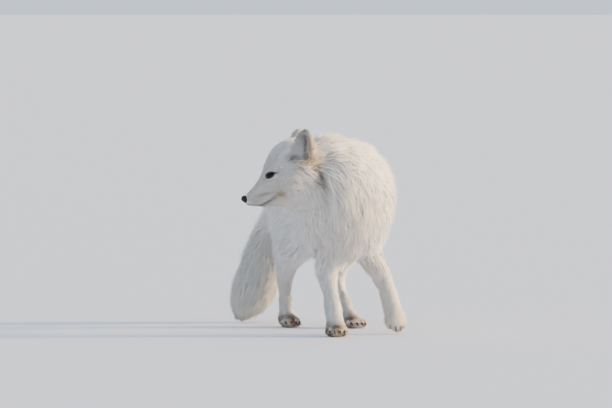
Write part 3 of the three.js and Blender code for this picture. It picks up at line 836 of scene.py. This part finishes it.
def growCoat(name, chosen, settings, start, end, up=(0, 0, 1)):
    # tufts on the faces whose first corner is chosen. Each tuft is a closed, three-sided, tapering blade that
    # leaves the skin, lies down along it and hangs on a little where the skin turns away.
    c = settings
    first = skinFaces[:, 0]
    usual = hairLength(area["depth"], c) * c.get("scale", np.ones(len(area["co"])))
    where = c.get("where", np.ones(len(area["co"])))
    weight = faceArea * chosen[first] * where[first] / usual[first] ** c["crowd"]
    count = c["count"] // 1
    face = rng.choice(len(skinFaces), count, p=weight / weight.sum())
    u, v = rng.random((2, count, 1))
    corner = skinFaces[face]
    co = area["co"]
    oneEdge = (1 - v) * co[corner[:, 0]] + v * co[corner[:, 3]]
    otherEdge = (1 - v) * co[corner[:, 1]] + v * co[corner[:, 2]]
    root = (1 - u) * oneEdge + u * otherEdge
    begin = corner[:, 0]
    length = usual[begin] * (0.72 + 0.45 * rng.random(count))
    fill = c["fill"] * (1 - c["ragged"] * rng.random(count) ** 1.5)
    stray = rng.random(count) < c["stray"]
    fill = np.where(stray, 1.12, fill)
    lift = c.get("lift", np.zeros(len(area["co"])))
    spread = c["spread"] * rng.normal(size=(count, 3))

    # tufts lean together into locks
    seeds = rng.choice(count, max(count // c["perLock"], 1), replace=False)
    tree = KDTree(len(seeds))
    for i, seed in enumerate(seeds):
        tree.insert(root[seed], i)
    tree.balance()
    lock = np.array([tree.find(p)[1] for p in root])
    lockSpread = c["lockSpread"] * rng.normal(size=(len(seeds), 3))
    lockLift = np.clip(1 + c["lockLift"] * rng.normal(size=len(seeds)), 0.6, 1.08)
    bend = spread + np.where(stray[:, None], 0.6, 1.0) * lockSpread[lock]
    fill = fill * lockLift[lock]

    place = root.copy()
    previous = area["flow"][begin]
    here = begin
    rings = [root - 0.0012 * area["normal"][begin]]
    frames = [area["smoothNormal"][begin]]
    under = [begin]  # the point of the skin under each ring
    steps = c["steps"]
    for k in range(1, steps + 1):
        t = k / steps
        wave = c["wave"] * math.sin(2.6 * k + 0.7) * np.cross(area["smoothNormal"][here], previous)
        way = unit(0.75 * area["flow"][here] + 0.25 * previous + bend + wave)
        place = place + way * (length / steps)[:, None]
        if k == steps:
            pull = place[seeds][lock] - place
            place = place + c["gather"] * pull * (0.4 + 0.6 * rng.random((count, 1)))
        hits = [skinTree.find_nearest(Vector(p)) for p in place]
        base = np.array([hit[0] for hit in hits])
        faceHere = np.array([hit[2] for hit in hits])
        here = skinFaces[faceHere][:, 0]
        normal = area["smoothNormal"][here]
        off = place - base
        height = np.linalg.norm(off, axis=1)
        outside = (off * area["normal"][here]).sum(1) > 0
        wanted = np.minimum(area["depth"][begin], area["depth"][here]) + lift[here]
        wanted = wanted * fill * (1 - (1 - t) ** c["rise"])
        hang = np.clip(height - wanted, 0, c["overhang"]) * c["hang"]
        height = wanted + np.where(outside, hang, 0)
        place = base + normal * height[:, None]
        place[:, 2] = np.maximum(place[:, 2], aboveFloor)
        rings.append(place)
        frames.append(normal)
        under.append(here)
        previous = way
    points = np.stack(rings, axis=1)  # tuft, ring, xyz
    width = np.interp(usual[begin], [0.004, 0.012, 0.05], c["width"]) * (0.7 + 0.6 * rng.random(count))
    width = np.where(stray, 0.6, 1.0) * width
    tone = rng.normal(size=len(seeds))[lock] * 0.03 + rng.normal(size=count) * 0.03
    tint = c.get("tint", area["color"])[np.stack(under, axis=1)] * (1 + tone)[:, None, None]
    tint = np.clip(tint, 0, 0.98)
    makeTufts(name, points, np.stack(frames, axis=1), root, width, tint, c, start, end, up)


patch = {"half": 0.0012, "height": 0.003}  # of one tuft on the unwrap


def makeTufts(name, points, normals, root, width, tint, c, start, end, up):
    count, ringCount = points.shape[:2]
    taper = np.interp(np.linspace(0, 1, ringCount), [0, 0.45, 1], [0.8, 1.0, 0.0])
    along = unit(np.gradient(points, axis=1))
    side = unit(np.cross(along, normals))
    top = np.cross(side, along)
    turn = rng.random(count) * 2 * math.pi
    corners = []
    for k in range(3):
        angle = turn + k * 2 * math.pi / 3
        out = side * np.cos(angle)[:, None, None] + 0.6 * top * np.sin(angle)[:, None, None]
        corners.append(points + out * (width[:, None] * taper[None, :] / 2)[:, :, None])
    ringCo = np.stack(corners, axis=2)[:, :-1]  # tuft, ring, corner, xyz
    tips = points[:, -1]
    perTuft = (ringCount - 1) * 3 + 1
    co = np.concatenate([ringCo.reshape(count, -1, 3), tips[:, None]], axis=1).reshape(-1, 3)

    quads = []
    for r in range(ringCount - 2):
        for k in range(3):
            after = (k + 1) % 3
            quads.append((r * 3 + k, (r + 1) * 3 + k, (r + 1) * 3 + after, r * 3 + after))
    last = (ringCount - 2) * 3
    tris = [(last + (k + 1) % 3, last + k, perTuft - 1) for k in range(3)] + [(0, 1, 2)]
    sizes = [4] * len(quads) + [3] * len(tris)
    pattern = np.array([i for f in quads + tris for i in f])
    loops = (np.arange(count)[:, None] * perTuft + pattern).ravel()
    mesh = bpy.data.meshes.new(name)
    mesh.vertices.add(len(co))
    mesh.vertices.foreach_set("co", co.ravel())
    mesh.loops.add(len(loops))
    mesh.loops.foreach_set("vertex_index", loops)
    faceSizes = np.tile(sizes, count)
    mesh.polygons.add(len(faceSizes))
    mesh.polygons.foreach_set("loop_start", np.concatenate([[0], np.cumsum(faceSizes)[:-1]]))
    mesh.update(calc_edges=True)
    mesh.polygons.foreach_set("use_smooth", np.ones(len(faceSizes), bool))
    ringOf = np.concatenate([np.repeat(np.arange(ringCount - 1), 3), [ringCount - 1]])
    soft = unit((1 - c["soft"]) * vertexNormals(mesh) + c["soft"] * normals[:, ringOf].reshape(-1, 3))
    mesh.normals_split_custom_set_from_vertices(soft.tolist())

    # each tuft has a small patch of its own on the unwrap
    where = roundAndAlong(root, np.asarray(start, float), np.asarray(end, float), up)
    ringUv = []
    for r in range(ringCount - 1):
        rise = -patch["height"] / 2 + patch["height"] * r / (ringCount - 1)
        ringUv += [((k - 1) * patch["half"], rise) for k in range(3)]
    ringUv.append((0, patch["height"] / 2))
    uv = (where[:, None] + np.array(ringUv)).reshape(-1, 2)[loops]
    layer = mesh.uv_layers.new(name="OFBake")
    layer.data.foreach_set("uv", uv.ravel())

    shade = c["rootShade"] + (1 - c["rootShade"]) * (ringOf / (ringCount - 1)) ** 0.7
    values = np.ones((count, perTuft, 4))
    values[:, :, :3] = tint[:, ringOf] * shade[None, :, None]
    attribute = mesh.color_attributes.new("coatTint", "FLOAT_COLOR", "POINT")
    attribute.data.foreach_set("color", values.ravel())
    mesh.materials.append(coatMaterial)
    obj = link(bpy.data.objects.new(name, mesh))
    finishPiece(obj, c["slot"])
    print(name, count, "tufts,", count * (6 * (ringCount - 2) + 4), "triangles")


area["color"] = markingAndPaintedLightColor(area["co"], area["owner"])
print("markings ready")


coatMaterial, tree, shader = nodeMaterial("winterCoat")
tintNode = addNode(tree, "Attribute")
tintNode.attribute_name = "coatTint"
tree.links.new(tintNode.outputs["Color"], shader.inputs["Base Color"])
shader.inputs["Roughness"].default_value = 0.75
shader.inputs["Specular IOR Level"].default_value = 0.25

longCoat = {
    "count": 16000, "perDepth": 2.0, "shortest": 0.006, "longest": 0.052, "crowd": 1.2,
    "width": (0.0007, 0.0011, 0.0017),
    "fill": 0.98, "ragged": 0.42, "stray": 0.13, "spread": 0.14, "perLock": 24, "lockSpread": 0.12,
    "lockLift": 0.08,
    "gather": 0.4, "wave": 0.10, "steps": 2, "rise": 2.0, "hang": 0.7, "overhang": 0.009, "rootShade": 0.92,
    "soft": 0.55, "slot": "coat",
}
shortCoat = {
    **longCoat, "count": 30000, "perDepth": 2.2, "shortest": 0.0045, "longest": 0.03, "crowd": 1.5,
    "width": (0.0006, 0.0011, 0.0016),
    "spread": 0.16, "perLock": 12, "gather": 0.35, "wave": 0.0, "steps": 1, "stray": 0.04,
    "overhang": 0.003,
}
headLocal = inHead(area["co"])
isHead = inNodes("head", "lower_jaw")
clearOfEyes = np.ones(len(headLocal))
for side in (1, -1):
    distance, edge = lidEdge(headLocal, side)
    clearOfEyes *= np.where(distance < 0.025, smoothStep(0.05, 0.12, edge), 1)
gap, opened = mouthGap(headLocal)
clearOfMouth = 1 - opened * np.exp(-((gap / 0.0011) ** 2))
bareNose = (0.0078, 0.0067, 0.0072)
noseAway = np.linalg.norm((headLocal - np.array(face["nose"])) / np.array(bareNose), axis=1)
clearOfNose = smoothStep(0.84, 0.98, noseAway)
clear = clearOfEyes * clearOfMouth * clearOfNose
cup = np.minimum(earHollow(headLocal, 1), earHollow(headLocal, -1))
isEar = inNodes("ear_left", "ear_right")
trunkLine = drawn([(-5, -200, 215), (0, 220, 212)])
foreTops = inNodes("foreleg_left", "foreleg_right") * smoothStep(0.078, 0.128, area["co"][:, 2])
hindTops = inNodes("hindleg_left", "hindleg_right") * smoothStep(0.084, 0.132, area["co"][:, 2])
lowLegs = smoothStep(0.142, 0.100, area["co"][:, 2])
chestCoat, loinCoat, rumpCoat = ({**longCoat, "count": n} for n in (18500, 14000, 17500))
growCoat("coatChest", inNodes("chest") + foreTops, chestCoat, *trunkLine)
growCoat("coatLoin", inNodes("loin"), loinCoat, *trunkLine)
growCoat("coatRump", inNodes("rump") + hindTops, rumpCoat, *trunkLine)
maneLine = drawn([(-110, -145, 265), (10, -100, 225)])
crown = 0.015 * spot(area["co"], drawn((-72, -118, 310)), 0.026)
dip = 0.003 * spot(area["co"], drawn((-12, -90, 305)), 0.035)
maneCoat = {
    **longCoat, "count": 19500, "perLock": 34, "gather": 0.7, "wave": 0.18,
    "lockSpread": 0.18, "lockLift": 0.14, "lift": crown - dip,
}
growCoat("coatMane", inNodes("neck"), maneCoat, *maneLine)
tailLine = drawn([(-14, 200, 215), (-84, 243, 30)])
brush = 0.004 * smoothStep(0.13, 0.04, area["co"][:, 2])
tailCoat = {
    **longCoat, "count": 17000, "width": (0.0007, 0.0010, 0.0014),
    "hang": 1.0, "overhang": 0.012, "lift": brush,
}
growCoat("coatTail", inNodes("tail_base", "tail_middle", "tail_tip"), tailCoat, *tailLine, up=(0, 1, 0))
headLine = fromHead([(0, -0.06, -0.02), (0, 0.09, 0)])
ruffCoat = {**longCoat, "count": 16000, "slot": "face_coat"}
faceCoat = {**shortCoat, "count": 38000, "shortest": 0.003, "slot": "face_coat"}
growCoat("coatRuff", isHead * smoothStep(0.002, 0.05, headLocal[:, 1]) * clear, ruffCoat, *headLine)
growCoat("coatFace", isHead * smoothStep(0.062, 0.03, headLocal[:, 1]) * clear, faceCoat, *headLine)
oneSide = np.concatenate([np.abs(headLocal[:, :1]), headLocal[:, 1:]], axis=1)
darkSpots = [  # strength, place and size of the dark hair by the ear
    (1.0, (0.042, 0.044, 0.016), (0.020, 0.0085, 0.0060)),
    (1.0, (0.046, 0.060, 0.005), (0.020, 0.0060, 0.0065)),
    (1.0, (0.042, 0.064, -0.010), (0.024, 0.0042, 0.014)),
    (0.35, (0.044, 0.052, 0.000), (0.022, 0.014, 0.010)),
]
darkPlaces = sum(share * spot(oneSide, at, size) for share, at, size in darkSpots)
darkHair = np.tile(np.array(markingsAndPaintedLight["smudge"]) * 0.45, (len(headLocal), 1))
streaks = {
    **shortCoat, "count": 2200, "perDepth": 1.1, "shortest": 0.009, "longest": 0.022, "ragged": 0.2,
    "fill": 1.06,
    "width": (0.0006, 0.0009, 0.0011), "crowd": 0.0, "tint": darkHair, "slot": "face_coat",
}
growCoat("coatStreaks", (darkPlaces > 0.2) * darkPlaces * (isHead | inNodes("neck")), streaks, *headLine)
inCup = smoothStep(1.4, 1.15, cup)
slitShadow, rims, tips = 0.0, 0.0, 0.0
for side, name in ((1, "ear_left"), (-1, "ear_right")):
    place = inEar(headLocal, side) * (side, 1, 1)
    slitShadow = np.maximum(slitShadow, earSlitShadow(place, cup) * inNodes(name))
    rear = smoothStep(0.003, 0.012, -place[:, 0])
    front = smoothStep(0.004, 0.013, place[:, 0]) * smoothStep(0.036, 0.022, place[:, 2])
    tip = smoothStep(0.026, 0.042, place[:, 2])
    rims = rims + inNodes(name) * (0.0065 * rear + 0.0058 * front) * (1 - tip)
    tips = tips + inNodes(name) * tip
earCoat = {
    **shortCoat, "count": 16000, "perDepth": 6.0, "stray": 0.08, "ragged": 0.7, "spread": 0.3,
    "longest": 0.013,
    "lift": 0.0016 + 0.0022 * inCup + rims * (1 - inCup) - 0.001 * tips, "scale": 1 - 0.5 * tips,
    "width": (0.0004, 0.0008, 0.0012), "where": 1 + 0.4 * inCup, "slot": "ear_coat",
}
# no tufts over the painted shadow down the middle of the ear's cup
growCoat("coatEars", isEar * (slitShadow < 0.45), earCoat, *headLine)
legCoat = {**shortCoat, "lift": 0.0004 * smoothStep(0.034, 0.012, area["co"][:, 2])}
foreLine, hindLine = drawn([(0, -110, 150), (0, -110, 0)]), drawn([(0, 95, 150), (0, 95, 0)])
foreParts = inNodes("foreleg_left", "foreleg_right", "forepaw_left", "forepaw_right")
hindParts = inNodes(*(f"hind{part}_{side}" for part in ("leg", "foot", "paw") for side in ("left", "right")))
growCoat("coatForelegs", foreParts * lowLegs, {**legCoat, "count": 26000}, *foreLine, up=(0, 1, 0))
growCoat("coatHindlegs", hindParts * lowLegs, {**legCoat, "count": 28000}, *hindLine, up=(0, 1, 0))
# the lifted paw's long hair hangs over its claws
toeCoat = {
    **shortCoat, "count": 5000, "shortest": 0.013, "overhang": 0.011, "hang": 1.0, "crowd": 0.0,
    "lift": np.full(len(area["co"]), 0.002),
}
overToes = inNodes("forepaw_left") * smoothStep(0.004, 0.009, area["co"][:, 2])
growCoat("coatLiftedPaw", overToes, toeCoat, *foreLine, up=(0, 1, 0))


# whiskers and lashes
fineHair = {
    "whiskerLength": (0.015, 0.034), "whiskerWidth": 0.00032, "whiskerWay": (0.72, 0.62, -0.12),
    "whiskerDroop": (0.0, 0.35, -0.30),
    "lashes": 20, "lashLength": 0.0030, "lashWidth": 0.00030, "slot": "face_coat", "rootShade": 0.8,
    "soft": 0.0,
}


def growWhiskers(c):
    points, roots = [], []
    for side in (1, -1):
        for i in range(whiskerRoots["count"]):
            start = Vector(fromHead([side * 0.08, *whiskerRoot(i)]).tolist())
            hit = skinTree.ray_cast(start, Vector(fromHead((-side, 0, 0), asDirection=True).tolist()))
            root = inHead(hit[0])
            length = c["whiskerLength"][0] + (c["whiskerLength"][1] - c["whiskerLength"][0]) * rng.random()
            way = unit(np.array(c["whiskerWay"]) + 0.13 * rng.normal(size=3))
            t = np.linspace(0, 1, 5)[:, None]
            curve = t * way + t * t * np.array(c["whiskerDroop"])
            path = root + length * curve * (side, 1, 1) - np.array((side * 0.001, 0, 0))
            points.append(fromHead(path))
            roots.append(np.array(hit[0]))
    tint = np.full((len(points), 5, 3), 0.62)
    width = np.full(len(points), c["whiskerWidth"])
    normals = np.tile(unit(np.array((0.1, 0.2, 1.0))), (len(points), 5, 1))
    makeTufts("whiskers", np.array(points), normals, np.array(roots), width, tint, c, *headLine, (0, 0, 1))


def growLashes(c):
    points = []
    width, upper, _ = np.radians(face["opening"])
    for side in (1, -1):
        for k in range(c["lashes"]):
            share = (k + 0.3 + 0.4 * rng.random()) / c["lashes"]
            across = (1.8 * share - 0.85) * width
            rise = upper * (1 - (across / width) ** 2) ** 0.8 + 0.05
            level = math.cos(across) * gaze + math.sin(across) * cornerWay
            way = math.cos(rise) * level + math.sin(rise) * lidTop
            root = np.array(face["eye"]) + way * (face["lid"] - 0.0003)
            lean = unit(way + 0.55 * lidTop + 0.5 * cornerWay + 0.12 * rng.normal(size=3))
            length = c["lashLength"] * (0.6 + 0.6 * rng.random())
            path = [root, root + 0.55 * length * lean, root + length * unit(lean + 0.5 * lidTop)]
            points.append(fromHead(np.array(path) * (side, 1, 1)))
    points = np.array(points)
    tint = np.tile(np.array(markingsAndPaintedLight["dark"]), (len(points), 3, 1))
    width = np.full(len(points), c["lashWidth"])
    normals = np.tile(unit(np.array((0.1, 0.2, 1.0))), (len(points), 3, 1))
    makeTufts("lashes", points, normals, points[:, 0], width, tint, c, *headLine, (0, 0, 1))


growWhiskers(fineHair)
growLashes(fineHair)


# skin finish
def makeSkinMaterial():
    material, tree, shader = nodeMaterial("furredSkin")
    tint = addNode(tree, "Attribute")
    tint.attribute_name = "skinTint"
    coord = addNode(tree, "TexCoord")
    hair = addNode(tree, "TexNoise", Scale=900, Detail=4)
    shade = addNode(tree, "MapRange", **{"To Min": 0.82, "To Max": 1.06})
    mix = addNode(tree, "Mix", Factor=1)
    mix.data_type = "RGBA"
    mix.blend_type = "MULTIPLY"
    bump = addNode(tree, "Bump", Strength=0.35, Distance=0.0006)
    tree.links.new(coord.outputs["Object"], hair.inputs["Vector"])
    tree.links.new(hair.outputs["Fac"], shade.inputs["Value"])
    tree.links.new(tint.outputs["Color"], mix.inputs["A"])
    tree.links.new(shade.outputs["Result"], mix.inputs["B"])
    tree.links.new(mix.outputs["Result"], shader.inputs["Base Color"])
    tree.links.new(hair.outputs["Fac"], bump.inputs["Height"])
    tree.links.new(bump.outputs["Normal"], shader.inputs["Normal"])
    shader.inputs["Roughness"].default_value = 0.8
    return material


def thinSkin(obj, fine, wanted):
    # fewer faces where the long coat hides the skin, all of them kept on face, ears and paws
    group = obj.vertex_groups.new(name="plain")
    group.add(np.flatnonzero(~fine).tolist(), 1.0, "REPLACE")
    thin = obj.modifiers.new("thin", "DECIMATE")
    thin.ratio = wanted / sum(len(p.vertices) - 2 for p in obj.data.polygons)
    thin.vertex_group = group.name
    mesh = bpy.data.meshes.new_from_object(obj.evaluated_get(bpy.context.evaluated_depsgraph_get()))
    obj.modifiers.clear()
    obj.vertex_groups.clear()
    obj.data = mesh
    print("skin thinned to", sum(len(p.vertices) - 2 for p in mesh.polygons), "triangles")


tint = skinMesh.color_attributes.new("skinTint", "FLOAT_COLOR", "POINT")
skinColor = np.concatenate([area["color"], np.ones((len(area["color"]), 1))], axis=1)
tint.data.foreach_set("color", skinColor.ravel())
skinMesh.materials.append(makeSkinMaterial())


feet = ("forepaw", "hindpaw", "hindfoot")
paws = inNodes(*(f"{part}_{side}" for part in feet for side in ("left", "right")))
thinSkin(skinObj, (isHead & (headLocal[:, 1] < 0.03)) | isEar | paws, skin["triangles"])
finishPiece(skinObj, "coat", *flesh)


# eyes
eyes = {
    "corneaHalf": 34, "corneaRise": 0.0006, "pupil": 13, "iris": 34,
    "pupilColor": (0.004, 0.003, 0.003), "irisColor": (0.018, 0.0075, 0.0035),
    "rimColor": (0.004, 0.003, 0.002), "whiteColor": (0.012, 0.008, 0.006),
}


def makeEyeMaterial(c):
    material, tree, shader = nodeMaterial("wetEye")
    ring = addNode(tree, "Attribute")
    ring.attribute_name = "gaze"
    ramp = addNode(tree, "ValToRGB")
    stops = ramp.color_ramp.elements
    stops[0].position, stops[0].color = c["pupil"] / 90 - 0.01, (*c["pupilColor"], 1)
    stops[1].position, stops[1].color = c["pupil"] / 90 + 0.02, (*c["irisColor"], 1)
    edge = c["iris"] / 90
    for at, color in ((edge - 0.04, "irisColor"), (edge, "rimColor"), (edge + 0.08, "whiteColor")):
        stop = stops.new(at)
        stop.color = (*c[color], 1)
    coord = addNode(tree, "TexCoord")
    streak = addNode(tree, "TexNoise", Scale=1400)
    mix = addNode(tree, "Mix", Factor=0.6)
    mix.data_type = "RGBA"
    mix.blend_type = "MULTIPLY"
    tree.links.new(ring.outputs["Fac"], ramp.inputs["Fac"])
    tree.links.new(coord.outputs["Object"], streak.inputs["Vector"])
    tree.links.new(ramp.outputs["Color"], mix.inputs["A"])
    tree.links.new(streak.outputs["Fac"], mix.inputs["B"])
    tree.links.new(mix.outputs["Result"], shader.inputs["Base Color"])
    shader.inputs["Roughness"].default_value = 0.06
    shader.inputs["Specular IOR Level"].default_value = 0.12
    return material


eyeMaterial = makeEyeMaterial(eyes)
for side, name in ((1, "left"), (-1, "right")):
    bm = bmesh.new()
    bmesh.ops.create_uvsphere(bm, u_segments=48, v_segments=32, radius=face["ball"])
    for v in bm.verts:
        angle = math.degrees(v.co.angle(Vector((0, 0, 1))))
        bulge = max(0.0, 1 - (angle / eyes["corneaHalf"]) ** 2)
        v.co += v.co.normalized() * eyes["corneaRise"] * bulge
    look = Vector((gaze * (side, 1, 1)).tolist())
    turn = look.to_track_quat("Z", "Y").to_matrix().to_4x4()
    angles = [math.degrees(v.co.angle(Vector((0, 0, 1)))) / 90 for v in bm.verts]
    middle = Vector((np.array(face["eye"]) * (side, 1, 1)).tolist())
    bmesh.ops.transform(bm, matrix=headFrame @ Matrix.Translation(middle) @ turn, verts=bm.verts)
    mesh = meshFrom(bm, "eye" + name.title(), smooth=True)
    ring = mesh.attributes.new("gaze", "FLOAT", "POINT")
    ring.data.foreach_set("value", angles)
    mesh.materials.append(eyeMaterial)
    finishPiece(link(bpy.data.objects.new(mesh.name, mesh)), "eye", "eye_" + name)
print("eyes made")


# nose
noseLeather = {
    "middle": (0, -0.0476, -0.0292), "half": (0.0076, 0.0062, 0.0078), "lean": 0.36, "levels": 5,
    "nostrilAt": (0.0036, -0.0530, -0.0287), "nostrilSize": (0.0020, 0.0030, 0.0016),
    "nostrilDepth": 0.0026,
    "grooveWidth": 0.0006, "grooveDepth": 0.0008,
}


def makeNose(c):
    bm = bmesh.new()
    bmesh.ops.create_icosphere(bm, subdivisions=c["levels"], radius=1)
    bmesh.ops.scale(bm, vec=c["half"], verts=bm.verts)
    for v in bm.verts:  # flatter on top, narrower and set back below
        v.co.x *= 1 - 0.14 * max(0.0, -v.co.z / c["half"][2])
        if v.co.z > 0:
            v.co.z *= 0.82
        v.co.y += c["lean"] * max(0.0, 0.0015 - v.co.z)
    bmesh.ops.translate(bm, vec=c["middle"], verts=bm.verts)
    bm.normal_update()
    moves = []
    for v in bm.verts:
        sink = 0.0
        for side in (1, -1):
            away = v.co - Vector((side * c["nostrilAt"][0], c["nostrilAt"][1], c["nostrilAt"][2]))
            away = Vector((away.x, away.y, away.z + side * away.x * 0.5))
            share = sum((a / s) ** 2 for a, s in zip(away, c["nostrilSize"]))
            sink += c["nostrilDepth"] * math.exp(-share)
        below = max(0.0, min(1.0, (c["middle"][2] + 0.001 - v.co.z) / 0.003))
        groove = c["grooveDepth"] * below * math.exp(-((v.co.x / c["grooveWidth"]) ** 2))
        sink += groove * (v.co.y < c["middle"][1])
        moves.append(-v.normal * sink)
    for v, move in zip(bm.verts, moves):
        v.co += move
    bmesh.ops.transform(bm, matrix=headFrame, verts=bm.verts)
    mesh = meshFrom(bm, "nose", smooth=True)
    material, tree, shader = nodeMaterial("noseLeather")
    coord = addNode(tree, "TexCoord")
    pebble = addNode(tree, "TexVoronoi", Scale=1500)
    ramp = addNode(tree, "ValToRGB")
    ramp.color_ramp.elements[0].color = (0.020, 0.018, 0.018, 1)
    ramp.color_ramp.elements[1].color = (0.006, 0.005, 0.005, 1)
    bump = addNode(tree, "Bump", Strength=0.5, Distance=0.0003)
    bump.invert = True
    tree.links.new(coord.outputs["Object"], pebble.inputs["Vector"])
    tree.links.new(pebble.outputs["Distance"], ramp.inputs["Fac"])
    tree.links.new(ramp.outputs["Color"], shader.inputs["Base Color"])
    tree.links.new(pebble.outputs["Distance"], bump.inputs["Height"])
    tree.links.new(bump.outputs["Normal"], shader.inputs["Normal"])
    shader.inputs["Roughness"].default_value = 0.42
    shader.inputs["Specular IOR Level"].default_value = 0.2
    mesh.materials.append(material)
    finishPiece(link(bpy.data.objects.new("noseLeather", mesh)), "nose", "nose")


makeNose(noseLeather)
print("nose made")


# claws: each curves down from its toe; the four of a paw are one piece
def makeClawMaterial():
    material, tree, shader = nodeMaterial("clawHorn")
    coord = addNode(tree, "TexCoord")
    band = addNode(tree, "TexNoise", Scale=700)
    ramp = addNode(tree, "ValToRGB")
    ramp.color_ramp.elements[0].position = 0.35
    ramp.color_ramp.elements[0].color = (0.030, 0.022, 0.018, 1)
    ramp.color_ramp.elements[1].position = 0.7
    ramp.color_ramp.elements[1].color = (0.120, 0.085, 0.060, 1)
    tree.links.new(coord.outputs["Object"], band.inputs["Vector"])
    tree.links.new(band.outputs["Fac"], ramp.inputs["Fac"])
    tree.links.new(ramp.outputs["Color"], shader.inputs["Base Color"])
    shader.inputs["Roughness"].default_value = 0.32
    return material


clawMaterial = makeClawMaterial()
for end in ("fore", "hind"):
    for side in ("left", "right"):
        names = [n for n in nodes if n.startswith(f"claw_{end}_{side}")]
        bm = bmesh.new()
        for name in names:
            bm.from_mesh(nodes[name].data)
        bmesh.ops.remove_doubles(bm, verts=bm.verts, dist=1e-5)
        bmesh.ops.subdivide_edges(bm, edges=bm.edges, cuts=2, smooth=0.6, use_grid_fill=True)
        allWays = {"use_axis_x": True, "use_axis_y": True, "use_axis_z": True}
        bmesh.ops.smooth_vert(bm, verts=bm.verts, factor=0.5, **allWays)
        bmesh.ops.recalc_face_normals(bm, faces=bm.faces)
        mesh = meshFrom(bm, f"claws{end.title()}{side.title()}", smooth=True)
        mesh.materials.append(clawMaterial)
        finishPiece(link(bpy.data.objects.new(mesh.name, mesh)), "claw", *names)
print("claws made")
